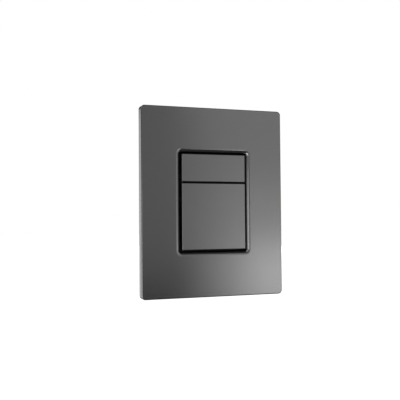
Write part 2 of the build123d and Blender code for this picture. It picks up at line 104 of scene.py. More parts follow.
class FLUSHPLATE_PG_finish(bpy.types.PropertyGroup):
    """Colours and gloss of the finishes."""

    plate_tint: FloatVectorProperty(
        name="Plate tint",
        description="Colour that the satin graphite plate reflects",
        subtype="COLOR", size=3, min=0.0, max=1.0, default=(0.287, 0.287, 0.288),
    )
    plate_roughness: FloatProperty(
        name="Plate roughness",
        description="How far the plate's reflections are spread",
        subtype="FACTOR", min=0.0, max=1.0, default=0.20,
    )
    button_tint: FloatVectorProperty(
        name="Button tint",
        description="Colour that the satin buttons reflect",
        subtype="COLOR", size=3, min=0.0, max=1.0, default=(0.299, 0.299, 0.300),
    )
    button_roughness: FloatProperty(
        name="Button roughness",
        description="How far the buttons' reflections are spread",
        subtype="FACTOR", min=0.0, max=1.0, default=0.26,
    )
    # Deep enough that the buttons' hooks behind the opening stay black: bare moulding and painted shade in
    # one.
    coating_and_painted_shade_depth: FloatProperty(
        name="Coating depth",
        description="How far back the plating of the buttons reaches, behind which they are bare black",
        unit="LENGTH", min=0.0, default=6.0 * MM,
    )
    carrier_colour: FloatVectorProperty(
        name="Carrier colour",
        description="Colour of the black moulded carrier and of the buttons' inside",
        subtype="COLOR", size=3, min=0.0, max=1.0, default=slot_colour("black_plastic"),
    )
    cup_colour: FloatVectorProperty(
        name="Pump cup colour",
        description="Colour of the grey moulded pump cups",
        subtype="COLOR", size=3, min=0.0, max=1.0, default=slot_colour("grey_plastic"),
    )
    frame_colour: FloatVectorProperty(
        name="Frame colour",
        description="Colour of the white moulded wall frame",
        subtype="COLOR", size=3, min=0.0, max=1.0, default=slot_colour("white_plastic"),
    )
    rubber_colour: FloatVectorProperty(
        name="Rubber colour",
        description="Colour of the bellows and buffers",
        subtype="COLOR", size=3, min=0.0, max=1.0, default=slot_colour("black_rubber"),
    )
    foam_colour: FloatVectorProperty(
        name="Foam colour",
        description="Colour of the foam strip round the rim",
        subtype="COLOR", size=3, min=0.0, max=1.0, default=slot_colour("foam_rubber"),
    )
    zinc_colour: FloatVectorProperty(
        name="Zinc colour",
        description="Colour of the zinc-plated screws, studs and washers",
        subtype="COLOR", size=3, min=0.0, max=1.0, default=slot_colour("zinc_steel"),
    )
    steel_colour: FloatVectorProperty(
        name="Spring steel colour",
        description="Colour of the spring clips",
        subtype="COLOR", size=3, min=0.0, max=1.0, default=slot_colour("spring_steel"),
    )
    pin_colour: FloatVectorProperty(
        name="Pin colour",
        description="Colour of the ground hinge pins",
        subtype="COLOR", size=3, min=0.0, max=1.0, default=slot_colour("pin_steel"),
    )


class FLUSHPLATE_PG_detail(bpy.types.PropertyGroup):
    """Sizes of what the looks add to the solids."""

    moulded_edge: FloatProperty(
        name="Moulded edge",
        description="Radius of the edges of moulded pieces",
        unit="LENGTH", min=0.0, default=0.25 * MM,
    )
    rubber_edge: FloatProperty(
        name="Rubber edge",
        description="Radius of the edges of rubber pads and the foam strip",
        unit="LENGTH", min=0.0, default=0.45 * MM,
    )
    strip_edge: FloatProperty(
        name="Strip edge",
        description="Radius of the edges and bends of the spring strip",
        unit="LENGTH", min=0.0, default=0.12 * MM,
    )
    edge_segments: IntProperty(
        name="Edge segments",
        description="Faces across a rounded edge",
        min=1, default=2,
    )
    bellows_wall: FloatProperty(
        name="Bellows wall",
        description="Thickness of the rubber",
        unit="LENGTH", min=0.0, default=0.9 * MM,
    )
    bellows_folds: IntProperty(
        name="Bellows folds",
        description="Folds between the flange and the closed end",
        min=1, default=3,
    )
    round_steps: IntProperty(
        name="Round steps",
        description="Faces round a turned piece",
        min=12, default=48,
    )
    stud_pitch: FloatProperty(
        name="Stud pitch",
        description="Pitch of the thread on the fixing studs",
        unit="LENGTH", min=0.0, default=1.0 * MM,
    )
    screw_pitch: FloatProperty(
        name="Screw pitch",
        description="Pitch of the thread on the carrier screws",
        unit="LENGTH", min=0.0, default=0.9 * MM,
    )


class FLUSHPLATE_PG_stage(bpy.types.PropertyGroup):
    """Camera, floor and studio light."""

    camera_place: FloatVectorProperty(
        name="Camera place",
        description="Where the camera stands, slightly left of the plate and a little below its middle",
        subtype="TRANSLATION", unit="LENGTH", size=3, default=(-0.24581, -0.65121, -0.01780),
    )
    camera_yaw: FloatProperty(
        name="Camera yaw",
        description="Turn of the view to the right",
        subtype="ANGLE", default=0.3449,
    )
    camera_pitch: FloatProperty(
        name="Camera pitch",
        description="Tilt of the view upwards",
        subtype="ANGLE", default=0.0293,
    )
    camera_roll: FloatProperty(
        name="Camera roll",
        description="Turn of the camera about its view",
        subtype="ANGLE", default=-0.0074,
    )
    focal_pixels: FloatProperty(
        name="Focal length in pixels",
        description="Focal length, in pixels of the photograph",
        min=1.0, default=658.22,
    )
    floor_side: FloatProperty(
        name="Floor side",
        description="Side of the pale floor",
        unit="LENGTH", min=0.0, default=6.0,
    )
    floor_gap: FloatProperty(
        name="Floor gap",
        description="How far the floor lies below the plate",
        unit="LENGTH", min=0.0, default=0.5 * MM,
    )
    room_light: FloatProperty(
        name="Room light",
        description="Even light from all round",
        min=0.0, default=0.07,
    )
    light_distance: FloatProperty(
        name="Light distance",
        description="How far the softboxes stand from the plate",
        unit="LENGTH", min=0.0, default=1.2,
    )


# Shader node groups


def group_of(name, inputs, outputs):
    """An empty shader node group with these sockets, its input node and its output node."""
    group = bpy.data.node_groups.new(name, "ShaderNodeTree")
    for socket, kind, value in inputs:
        group.interface.new_socket(name=socket, in_out="INPUT", socket_type=kind).default_value = value
    for socket, kind in outputs:
        group.interface.new_socket(name=socket, in_out="OUTPUT", socket_type=kind)
    return group, group.nodes.new("NodeGroupInput"), group.nodes.new("NodeGroupOutput")


def fine_grain_group():
    """Grain of a satin or moulded surface: a roughness that varies and a height."""
    group, given, result = group_of(
        "Fine grain",
        (
            ("Scale", "NodeSocketFloat", 3000.0),
            ("Roughness", "NodeSocketFloat", 0.4),
            ("Spread", "NodeSocketFloat", 0.05),
        ),
        (("Roughness", "NodeSocketFloat"), ("Height", "NodeSocketFloat")),
    )
    place = group.nodes.new("ShaderNodeTexCoord")
    speckle = group.nodes.new("ShaderNodeTexNoise")
    speckle.inputs["Detail"].default_value = 3.0
    lowest = group.nodes.new("ShaderNodeMath")
    lowest.operation = "SUBTRACT"
    highest = group.nodes.new("ShaderNodeMath")
    highest.operation = "ADD"
    spread = group.nodes.new("ShaderNodeMapRange")
    spread.inputs["From Min"].default_value = 0.3
    spread.inputs["From Max"].default_value = 0.7
    links = group.links
    links.new(place.outputs["Object"], speckle.inputs["Vector"])
    links.new(given.outputs["Scale"], speckle.inputs["Scale"])
    for bound in (lowest, highest):
        links.new(given.outputs["Roughness"], bound.inputs[0])
        links.new(given.outputs["Spread"], bound.inputs[1])
    links.new(speckle.outputs["Fac"], spread.inputs["Value"])
    links.new(lowest.outputs[0], spread.inputs["To Min"])
    links.new(highest.outputs[0], spread.inputs["To Max"])
    links.new(spread.outputs["Result"], result.inputs["Roughness"])
    links.new(speckle.outputs["Fac"], result.inputs["Height"])
    return group


def mottle_group():
    """Slow change of a colour over a piece, as from plating or moulding."""
    group, given, result = group_of(
        "Mottle",
        (
            ("Color", "NodeSocketColor", (0.5, 0.5, 0.5, 1.0)),
            ("Scale", "NodeSocketFloat", 40.0),
            ("Amount", "NodeSocketFloat", 0.1),
        ),
        (("Color", "NodeSocketColor"),),
    )
    place = group.nodes.new("ShaderNodeTexCoord")
    cloud = group.nodes.new("ShaderNodeTexNoise")
    cloud.inputs["Detail"].default_value = 2.0
    centred = group.nodes.new("ShaderNodeMath")
    centred.operation = "SUBTRACT"
    centred.inputs[1].default_value = 0.5
    swing = group.nodes.new("ShaderNodeMath")
    swing.operation = "MULTIPLY"
    level = group.nodes.new("ShaderNodeMath")
    level.operation = "ADD"
    level.inputs[1].default_value = 1.0
    shade = group.nodes.new("ShaderNodeHueSaturation")
    links = group.links
    links.new(place.outputs["Object"], cloud.inputs["Vector"])
    links.new(given.outputs["Scale"], cloud.inputs["Scale"])
    links.new(cloud.outputs["Fac"], centred.inputs[0])
    links.new(centred.outputs[0], swing.inputs[0])
    links.new(given.outputs["Amount"], swing.inputs[1])
    links.new(swing.outputs[0], level.inputs[0])
    links.new(level.outputs[0], shade.inputs["Value"])
    links.new(given.outputs["Color"], shade.inputs["Color"])
    links.new(shade.outputs["Color"], result.inputs["Color"])
    return group


def drawn_lines_group():
    """Fine lines along one way, as on drawn or ground steel: a roughness and a height."""
    group, given, result = group_of(
        "Drawn lines",
        (
            ("Stretch", "NodeSocketVector", (1.0, 1.0, 1.0)),
            ("Scale", "NodeSocketFloat", 4000.0),
            ("Roughness", "NodeSocketFloat", 0.3),
        ),
        (("Roughness", "NodeSocketFloat"), ("Height", "NodeSocketFloat")),
    )
    place = group.nodes.new("ShaderNodeTexCoord")
    stretched = group.nodes.new("ShaderNodeVectorMath")
    stretched.operation = "MULTIPLY"
    lines = group.nodes.new("ShaderNodeTexNoise")
    lines.inputs["Detail"].default_value = 4.0
    depth = group.nodes.new("ShaderNodeMath")
    depth.operation = "MULTIPLY_ADD"
    depth.inputs[1].default_value = LINE_ROUGHENING
    links = group.links
    links.new(place.outputs["Object"], stretched.inputs[0])
    links.new(given.outputs["Stretch"], stretched.inputs[1])
    links.new(stretched.outputs["Vector"], lines.inputs["Vector"])
    links.new(given.outputs["Scale"], lines.inputs["Scale"])
    links.new(lines.outputs["Fac"], depth.inputs[0])
    links.new(given.outputs["Roughness"], depth.inputs[2])
    links.new(depth.outputs[0], result.inputs["Roughness"])
    links.new(lines.outputs["Fac"], result.inputs["Height"])
    return group


GROUP_MAKERS = {
    "Fine grain": fine_grain_group,
    "Mottle": mottle_group,
    "Drawn lines": drawn_lines_group,
}


def place_group(tree, name, **values):
    """A node of a shared group, made on first use, with its inputs set."""
    node = tree.nodes.new("ShaderNodeGroup")
    node.node_tree = bpy.data.node_groups.get(name) or GROUP_MAKERS[name]()
    for socket, value in values.items():
        node.inputs[socket].default_value = value
    return node


def new_finish(name, colour, mottle, mottle_scale):
    """A material whose base colour varies slowly, with its node tree and its shader."""
    material = bpy.data.materials.new(name)
    material.use_nodes = True
    tree = material.node_tree
    shader = tree.nodes["Principled BSDF"]
    clouds = place_group(tree, "Mottle", Color=(*colour, 1.0), Scale=mottle_scale, Amount=mottle)
    tree.links.new(clouds.outputs["Color"], shader.inputs["Base Color"])
    return material, tree, shader


def bump_from(tree, shader, height, depth):
    """Feed a height to the shader's normal as a bump of this depth."""
    bump = tree.nodes.new("ShaderNodeBump")
    bump.inputs["Strength"].default_value = 1.0
    bump.inputs["Distance"].default_value = depth
    tree.links.new(height, bump.inputs["Height"])
    tree.links.new(bump.outputs["Normal"], shader.inputs["Normal"])


def satin_finish(name, tint, roughness):
    """Satin metal plating: blurred reflections with a very fine grain."""
    material, tree, shader = new_finish(name, tint, mottle=0.04, mottle_scale=60.0)
    shader.inputs["Metallic"].default_value = 1.0
    grain = place_group(tree, "Fine grain", Scale=9000.0, Roughness=roughness, Spread=0.02)
    tree.links.new(grain.outputs["Roughness"], shader.inputs["Roughness"])
    bump_from(tree, shader, grain.outputs["Height"], depth=0.0004 * MM)
    return material


def plated_front_painted_shade_back_finish(name, tint, roughness, bare, rear):
    """Satin plating on the front of a moulding, which is bare from a depth along Y backwards. The black back
    is partly bare moulding and partly painted shade that keeps parts deep in the recess dark.
    """
    fade = 0.1 * MM  # half the width of the plating's edge
    bare_dullness = 0.25  # how much rougher the bare moulding is
    material = satin_finish(name, tint, roughness)
    tree = material.node_tree
    shader = tree.nodes["Principled BSDF"]
    plating = shader.inputs["Base Color"].links[0].from_socket
    gloss = shader.inputs["Roughness"].links[0].from_socket
    place = tree.nodes.new("ShaderNodeTexCoord")
    depth = tree.nodes.new("ShaderNodeSeparateXYZ")
    # Behind this depth the moulding turns black: bare plastic, and also painted shade on the hooks and sides
    # deep in the recess.
    edge = tree.nodes.new("ShaderNodeMapRange")
    edge.inputs["From Min"].default_value = rear - fade
    edge.inputs["From Max"].default_value = rear + fade
    colour = tree.nodes.new("ShaderNodeMix")
    colour.data_type = "RGBA"
    colour.inputs["B"].default_value = (*bare, 1.0)
    metal = tree.nodes.new("ShaderNodeMath")
    metal.operation = "SUBTRACT"
    metal.inputs[0].default_value = 1.0
    dull = tree.nodes.new("ShaderNodeMath")
    dull.operation = "MULTIPLY_ADD"
    dull.inputs[1].default_value = bare_dullness
    links = tree.links
    links.new(place.outputs["Object"], depth.inputs["Vector"])
    links.new(depth.outputs["Y"], edge.inputs["Value"])
    links.new(edge.outputs["Result"], colour.inputs["Factor"])
    links.new(plating, colour.inputs["A"])
    links.new(colour.outputs["Result"], shader.inputs["Base Color"])
    links.new(edge.outputs["Result"], metal.inputs[1])
    links.new(metal.outputs[0], shader.inputs["Metallic"])
    links.new(edge.outputs["Result"], dull.inputs[0])
    links.new(gloss, dull.inputs[2])
    links.new(dull.outputs[0], shader.inputs["Roughness"])
    return material


def moulded_finish(name, colour, roughness):
    """Moulded plastic with the fine grain of a spark-eroded mould."""
    material, tree, shader = new_finish(name, colour, mottle=0.12, mottle_scale=35.0)
    grain = place_group(tree, "Fine grain", Scale=2600.0, Roughness=roughness, Spread=0.06)
    tree.links.new(grain.outputs["Roughness"], shader.inputs["Roughness"])
    bump_from(tree, shader, grain.outputs["Height"], depth=0.012 * MM)
    return material


def rubber_finish(name, colour):
    """Matt moulded rubber with a trace of bloom."""
    material, tree, shader = new_finish(name, colour, mottle=0.6, mottle_scale=220.0)
    shader.inputs["Specular IOR Level"].default_value = 0.35
    shader.inputs["Sheen Weight"].default_value = 0.15
    grain = place_group(tree, "Fine grain", Scale=3800.0, Roughness=0.62, Spread=0.1)
    tree.links.new(grain.outputs["Roughness"], shader.inputs["Roughness"])
    bump_from(tree, shader, grain.outputs["Height"], depth=0.02 * MM)
    return material


def foam_finish(name, colour):
    """Closed-cell foam with a pitted skin."""
    material, tree, shader = new_finish(name, colour, mottle=0.5, mottle_scale=400.0)
    shader.inputs["Specular IOR Level"].default_value = 0.2
    shader.inputs["Roughness"].default_value = 0.9
    place = tree.nodes.new("ShaderNodeTexCoord")
    cells = tree.nodes.new("ShaderNodeTexVoronoi")
    cells.inputs["Scale"].default_value = 2200.0
    tree.links.new(place.outputs["Object"], cells.inputs["Vector"])
    bump_from(tree, shader, cells.outputs["Distance"], depth=0.12 * MM)
    return material


def steel_finish(name, colour, roughness, stretch):
    """Steel with fine lines, from drawing, rolling or plating."""
    material, tree, shader = new_finish(name, colour, mottle=0.2, mottle_scale=150.0)
    shader.inputs["Metallic"].default_value = 1.0
    lines = place_group(tree, "Drawn lines", Stretch=stretch, Scale=3000.0, Roughness=roughness)
    tree.links.new(lines.outputs["Roughness"], shader.inputs["Roughness"])
    bump_from(tree, shader, lines.outputs["Height"], depth=0.004 * MM)
    return material


def finish_of(slot):
    """The material of a slot, made on first use."""
    finish = bpy.context.scene.flush_plate_finish
    plain, along_x, along_z = (1.0, 1.0, 1.0), (0.04, 1.0, 1.0), (1.0, 1.0, 0.04)
    makers = {
        "graphite_finish": lambda: satin_finish(slot, finish.plate_tint, finish.plate_roughness),
        "button_finish": lambda: plated_front_painted_shade_back_finish(
            slot, finish.button_tint, finish.button_roughness, finish.carrier_colour,
            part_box("full_flush_button")[0].y + finish.coating_and_painted_shade_depth,
        ),
        "black_plastic": lambda: moulded_finish(slot, finish.carrier_colour, roughness=0.5),
        "grey_plastic": lambda: moulded_finish(slot, finish.cup_colour, roughness=0.42),
        "white_plastic": lambda: moulded_finish(slot, finish.frame_colour, roughness=0.45),
        "black_rubber": lambda: rubber_finish(slot, finish.rubber_colour),
        "foam_rubber": lambda: foam_finish(slot, finish.foam_colour),
        "zinc_steel": lambda: steel_finish(slot, finish.zinc_colour, roughness=0.26, stretch=plain),
        "spring_steel": lambda: steel_finish(slot, finish.steel_colour, roughness=0.22, stretch=along_z),
        "pin_steel": lambda: steel_finish(slot, finish.pin_colour, roughness=0.18, stretch=along_x),
    }
    finish_name = f"{slot}_look"
    made = bpy.data.materials.get(finish_name)
    if made is None:
        made = makers[slot]()
        made.name = finish_name
    return made


# Mesh helpers


def facing_room(x, y, z):
    """A place whose own X runs to the right, Y up and Z towards the room."""
    return Matrix.Translation((x, y, z)) @ Matrix.Rotation(pi / 2, 4, "X")


def rounded_face(mesh, place, width, height, radius, segments):
    """A face with the outline of a rounded rectangle."""
    known = set(mesh.faces)
    sized = place @ Matrix.Diagonal((width, height, 1.0, 1.0))
    corners = bmesh.ops.create_grid(mesh, x_segments=1, y_segments=1, size=0.5, matrix=sized)["verts"]
    bmesh.ops.bevel(
        mesh, geom=corners, offset=radius, segments=segments, profile=0.5, affect="VERTICES", material=-1
    )
    return next(face for face in mesh.faces if face not in known)


def copy_of(mesh, face):
    """A copy of a face in the same place."""
    return bmesh.ops.duplicate(mesh, geom=[face, *face.edges, *face.verts])["face_map"][face]


def pushed(mesh, face, inset, distance):
    """Inset a face, then draw what is inside it along Y by a distance. The face that ends up there."""
    if inset:
        bmesh.ops.inset_region(
            mesh, faces=[face], thickness=inset, use_boundary=True, use_even_offset=True
        )
    drawn = bmesh.ops.extrude_face_region(mesh, geom=[face])["geom"]
    bmesh.ops.delete(mesh, geom=[face], context="FACES_ONLY")
    bmesh.ops.translate(
        mesh, verts=[part for part in drawn if isinstance(part, bmesh.types.BMVert)], vec=(0.0, distance, 0.0)
    )
    return next(part for part in drawn if isinstance(part, bmesh.types.BMFace))


def round_edges(mesh, edges, radius):
    """Bevel these edges to a radius."""
    segments = bpy.context.scene.flush_plate_detail.edge_segments
    bmesh.ops.bevel(
        mesh, geom=edges, offset=radius, segments=segments, profile=0.5, affect="EDGES",
        clamp_overlap=True, material=-1,
    )


def sharp_edges(mesh, least):
    """The edges whose two faces turn by more than this angle."""
    return [e for e in mesh.edges if len(e.link_faces) == 2 and e.calc_face_angle() > least]


def turned(mesh, points, x, z, steps, folds=(), fold_radius=0.0):
    """Spin an outline of radius and Y points, which ends on the axis or closes, about an axis along Y.

    The points that folds lists are rounded first.
    """
    verts = [mesh.verts.new((x + radius, y, z)) for radius, y in points]
    mesh.faces.new(verts)
    if folds:
        known = set(mesh.verts) - set(verts)
        bmesh.ops.bevel(
            mesh, geom=[verts[i] for i in folds], offset=fold_radius, segments=FOLD_SEGMENTS,
            profile=0.5, affect="VERTICES", material=-1,
        )
        verts = [v for v in mesh.verts if v not in known]
    edges = {edge for vert in verts for edge in vert.link_edges}
    bmesh.ops.delete(mesh, geom=list({f for e in edges for f in e.link_faces}), context="FACES_ONLY")
    axle = [e for e in edges if all(abs(v.co.x - x) < SAME_POINT for v in e.verts)]
    bmesh.ops.delete(mesh, geom=axle, context="EDGES")
    verts = [v for v in verts if v.is_valid]
    edges = [e for e in edges if e.is_valid]
    bmesh.ops.spin(
        mesh, geom=verts + edges, cent=(x, 0.0, z), axis=(0.0, 1.0, 0.0), angle=2 * pi, steps=steps,
        use_merge=True,
    )


def threaded(mesh, x, z, start, length, core, crest, pitch, steps):
    """A helical ridge about an axis along Y, from start towards the wall."""
    half, tip = 0.42 * pitch, 0.06 * pitch  # half the ridge's width at its foot and at its crest
    sunk = core - 0.1 * (crest - core)  # the foot lies a little inside the core
    joint = 0.01 * pitch  # the turns' ends meet within this
    known = set(mesh.verts)
    section = [
        mesh.verts.new((x + radius, start + half + y, z))
        for radius, y in ((sunk, -half), (crest, -tip), (crest, tip), (sunk, half))
    ]
    ring = [mesh.edges.new((section[i - 1], section[i])) for i in range(len(section))]
    bmesh.ops.spin(
        mesh, geom=section + ring, cent=(x, 0.0, z), axis=(0.0, 1.0, 0.0),
        dvec=(0.0, pitch / steps, 0.0), angle=2 * pi, steps=steps,
    )
    turn = [vert for vert in mesh.verts if vert not in known]
    turn += list({part for vert in turn for part in (*vert.link_edges, *vert.link_faces)})
    for count in range(1, int((length - 2 * half) / pitch)):
        copied = bmesh.ops.duplicate(mesh, geom=turn)["geom"]
        verts = [part for part in copied if isinstance(part, bmesh.types.BMVert)]
        bmesh.ops.translate(mesh, verts=verts, vec=(0.0, count * pitch, 0.0))
    ridge = [vert for vert in mesh.verts if vert not in known]
    bmesh.ops.remove_doubles(mesh, verts=ridge, dist=joint)
    ends = [e for e in mesh.edges if len(e.link_faces) == 1 and not known.intersection(e.verts)]
    bmesh.ops.holes_fill(mesh, edges=ends, sides=len(section))


def hex_head(mesh, x, z, radius, outer, inner, socket_depth):
    """A hexagon head from Y inner to Y outer, with its outer rim rounded and a hexagon socket in it."""
    rim, socket_wall = 0.08 * radius, 0.42 * radius
    known = set(mesh.faces)
    towards = 1.0 if outer > inner else -1.0
    bmesh.ops.create_circle(mesh, cap_ends=True, segments=6, radius=radius, matrix=facing_room(x, inner, z))
    base = next(face for face in mesh.faces if face not in known)
    end = pushed(mesh, copy_of(mesh, base), 0.0, outer - inner)
    round_edges(mesh, list(end.edges), rim)
    end = max((f for f in mesh.faces if f not in known), key=lambda f: towards * f.calc_center_median().y)
    pushed(mesh, end, socket_wall, -towards * socket_depth)
    verts = {vert for face in mesh.faces if face not in known for vert in face.verts}
    bmesh.ops.remove_doubles(mesh, verts=list(verts), dist=SAME_POINT)


def make_piece(mesh, name, slot, node):
    """Turn a bmesh into a piece of the plate that stands for a solid, with its slot's finish."""
    bmesh.ops.dissolve_degenerate(mesh, edges=mesh.edges, dist=SAME_POINT)
    bmesh.ops.recalc_face_normals(mesh, faces=mesh.faces)
    for face in mesh.faces:
        face.smooth = True
    for edge in mesh.edges:
        edge.smooth = len(edge.link_faces) == 2 and edge.calc_face_angle() < SHADED_ANGLE
    data = bpy.data.meshes.new(name)
    mesh.to_mesh(data)
    mesh.free()
    data.materials.append(finish_of(slot))
    piece = bpy.data.objects.new(name, data)
    bpy.context.scene.collection.objects.link(piece)
    shading = piece.modifiers.new("Flat faces stay flat", "WEIGHTED_NORMAL")
    shading.keep_sharp = True
    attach(piece, "plate")
    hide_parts(node)
    return piece


def softened(node, name, slot, radius):
    """Make a copy of a solid with its sharp edges rounded, which stands for it."""
    mesh = bmesh.new()
    mesh.from_mesh(frame["nodes"][node].data)
    bmesh.ops.remove_doubles(mesh, verts=mesh.verts, dist=SAME_POINT)
    bmesh.ops.dissolve_limit(mesh, angle_limit=FLAT_ANGLE, verts=mesh.verts, edges=mesh.edges)
    round_edges(mesh, sharp_edges(mesh, MOULDED_ANGLE), radius)
    make_piece(mesh, name, slot, node)


def refinish(node, slot):
    """Give a solid that stays in view its slot's finish."""
    materials = frame["nodes"][node].data.materials
    materials.clear()
    materials.append(finish_of(slot))


# Operators


class FLUSHPLATE_OT_face_plate(bpy.types.Operator):
    """Satin graphite finish of the face plate"""

    bl_idname = "flush_plate.face_plate"
    bl_label = "Face plate"

    def execute(self, context):
        refinish("face_plate", "graphite_finish")
        return {"FINISHED"}


class FLUSHPLATE_OT_buttons(bpy.types.Operator):
    """Satin finish of the two buttons, and their hinge pins"""

    bl_idname = "flush_plate.buttons"
    bl_label = "Buttons and hinge pins"

    def execute(self, context):
        detail = context.scene.flush_plate_detail
        for size in BUTTON_SIZES:
            refinish(f"{size}_flush_button", "button_finish")
            softened(f"{size}_hinge_pin", f"{size}_pin_ground", "pin_steel", detail.moulded_edge)
        return {"FINISHED"}


class FLUSHPLATE_OT_carrier(bpy.types.Operator):
    """Black carrier behind the opening, with its rubber buffers"""

    bl_idname = "flush_plate.carrier"
    bl_label = "Carrier and buffers"

    def execute(self, context):
        detail = context.scene.flush_plate_detail
        softened("button_carrier", "carrier_moulding", "black_plastic", detail.moulded_edge)
        for size in BUTTON_SIZES:
            softened(f"{size}_button_buffers", f"{size}_rubber_pads", "black_rubber", detail.rubber_edge)
        return {"FINISHED"}


class FLUSHPLATE_OT_bellows(bpy.types.Operator):
    """Rubber bellows with rounded folds"""

    bl_idname = "flush_plate.bellows"
    bl_label = "Bellows"

    def execute(self, context):
        detail = context.scene.flush_plate_detail
        wall, flange_depth, fold_radius = detail.bellows_wall, 1.4 * MM, 0.45 * MM
        crest_step, root_step, end_step = 1.2 * MM, 2.8 * MM, 3.6 * MM  # inwards from the flange's rim
        kept_depths = {"small": 0.80, "full": 0.725}  # share of the depth that is left when pressed
        for size, keep in kept_depths.items():
            low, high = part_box(f"{size}_bellows")
            middle = (low + high) / 2
            flange = (high.x - low.x) / 2
            crest, root, end = flange - crest_step, flange - root_step, flange - end_step
            seat = high.y - flange_depth
            pitch = (seat - low.y) / (detail.bellows_folds + 0.5)
            outside = []
            for fold in range(detail.bellows_folds):
                outside.append((root, seat - fold * pitch))
                outside.append((crest, seat - (fold + 0.5) * pitch))
            outside.append((root, seat - detail.bellows_folds * pitch))
            inside = [(radius - wall, y) for radius, y in reversed(outside)]
            points = [(flange, high.y), (flange, seat), *outside, (end, low.y), (0.0, low.y)]
            points += [(0.0, low.y + wall), (end - wall, low.y + wall), *inside, (root - wall, high.y)]
            mesh = bmesh.new()
            rounded = [i for i, (radius, y) in enumerate(points) if radius > 0.0 and low.y < y < high.y]
            turned(mesh, points, middle.x, middle.z, detail.round_steps, rounded, fold_radius)
            bellows = make_piece(mesh, f"{size}_bellows_rubber", "black_rubber", f"{size}_bellows")
            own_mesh(bellows)
        return {"FINISHED"}


class FLUSHPLATE_OT_pump_cups(bpy.types.Operator):
    """Grey pump cups with barbed hose nipples"""

    bl_idname = "flush_plate.pump_cups"
    bl_label = "Pump cups"

    def execute(self, context):
        detail = context.scene.flush_plate_detail
        corner_radius, corner_segments = 3.4 * MM, 6
        flange_depth, flange_width, body_depth = 2.0 * MM, 1.8 * MM, 6.0 * MM
        pocket_wall, pocket_depth = 3.2 * MM, 6.0 * MM
        for size in BUTTON_SIZES:
            low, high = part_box(f"{size}_pump_cup")
            middle = (low + high) / 2
            side = high.x - low.x
            place = facing_room(middle.x, low.y, middle.z)
            mesh = bmesh.new()
            flange = rounded_face(mesh, place, side, side, corner_radius, corner_segments)
            flange_rear = pushed(mesh, copy_of(mesh, flange), 0.0, flange_depth)
            pushed(mesh, flange_rear, flange_width, body_depth)
            pushed(mesh, flange, pocket_wall, pocket_depth)
            bmesh.ops.remove_doubles(mesh, verts=mesh.verts, dist=SAME_POINT)
            bmesh.ops.recalc_face_normals(mesh, faces=mesh.faces)
            round_edges(mesh, sharp_edges(mesh, CUP_ANGLE), detail.moulded_edge)
            points = self.nipple_outline(low.y + flange_depth + body_depth, high.y)
            turned(mesh, points, middle.x, middle.z, detail.round_steps)
            make_piece(mesh, f"{size}_cup_moulding", "grey_plastic", f"{size}_pump_cup")
        return {"FINISHED"}

    def nipple_outline(self, foot, tip):
        """Radius and Y points of a hollow nipple with barbs, from inside the cup's rear to its tip."""
        stem, groove, crest, mouth, bore = 2.2 * MM, 1.85 * MM, 2.25 * MM, 1.6 * MM, 1.1 * MM
        root_depth, collar, barb_step = 1.0 * MM, 0.3 * MM, 0.15 * MM
        barbs, groove_share = 3, 0.6
        pitch = (tip - foot) / (barbs + 1)
        points = [(0.0, foot - root_depth), (stem, foot - root_depth), (stem, foot + collar)]
        for barb in range(1, barbs + 1):
            edge = foot + barb * pitch
            points += [(groove, edge - groove_share * pitch), (groove, edge), (crest, edge + barb_step)]
        return points + [(mouth, tip), (bore, tip), (bore, foot), (0.0, foot)]


class FLUSHPLATE_OT_carrier_screws(bpy.types.Operator):
    """Four socket screws that hold the carrier to the plate"""

    bl_idname = "flush_plate.carrier_screws"
    bl_label = "Carrier screws"

    def execute(self, context):
        detail = context.scene.flush_plate_detail
        low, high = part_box("carrier_screws")
        head_radius, head_depth, socket_depth = 2.8 * MM, 1.8 * MM, 1.0 * MM
        crest, thread_steps = 1.2 * MM, 20
        core, point = 0.8 * crest, 0.3 * crest
        head_front = high.y - head_depth
        half_height = head_radius * cos(pi / 6)
        start, length = low.y + 0.5 * crest, head_front - low.y - 0.6 * crest
        points = [
            (core, head_front), (core, low.y + crest), (point, low.y), (0.0, low.y), (0.0, head_front),
        ]
        mesh = bmesh.new()
        for x in (low.x + head_radius, high.x - head_radius):
            for z in (low.z + half_height, high.z - half_height):
                hex_head(mesh, x, z, head_radius, high.y, head_front, socket_depth)
                turned(mesh, points, x, z, detail.round_steps // 2)
                threaded(mesh, x, z, start, length, core, crest, detail.screw_pitch, thread_steps)
        make_piece(mesh, "carrier_screw_set", "zinc_steel", "carrier_screws")
        return {"FINISHED"}


class FLUSHPLATE_OT_fixing_studs(bpy.types.Operator):
    """Two threaded studs with hexagon heads, and their square washers"""

    bl_idname = "flush_plate.fixing_studs"
    bl_label = "Fixing studs and washers"

    def execute(self, context):
        detail = context.scene.flush_plate_detail
        low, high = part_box("fixing_studs")
        washer_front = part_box("stud_washers")[0].y
        head_radius, socket_depth, chamfer = 6.0 * MM, 1.6 * MM, 0.8 * MM
        crest, neck, neck_taper, thread_steps = 3.0 * MM, 2.6 * MM, 0.3 * MM, 28
        core = crest - 0.61 * detail.stud_pitch  # depth of a metric thread
        start, length = 0.4 * MM, high.y - 1.0 * MM
        points = [
            (neck, washer_front), (neck, 0.0), (core, neck_taper), (core, high.y - chamfer),
            (core - chamfer, high.y), (0.0, high.y), (0.0, washer_front),
        ]
        mesh = bmesh.new()
        for x in (low.x + head_radius, high.x - head_radius):
            hex_head(mesh, x, 0.0, head_radius, low.y, washer_front, socket_depth)
            turned(mesh, points, x, 0.0, detail.round_steps)
            threaded(mesh, x, 0.0, start, length, core, crest, detail.stud_pitch, thread_steps)
        make_piece(mesh, "stud_pair", "zinc_steel", "fixing_studs")
        softened("stud_washers", "washer_pair", "zinc_steel", detail.strip_edge)
        return {"FINISHED"}


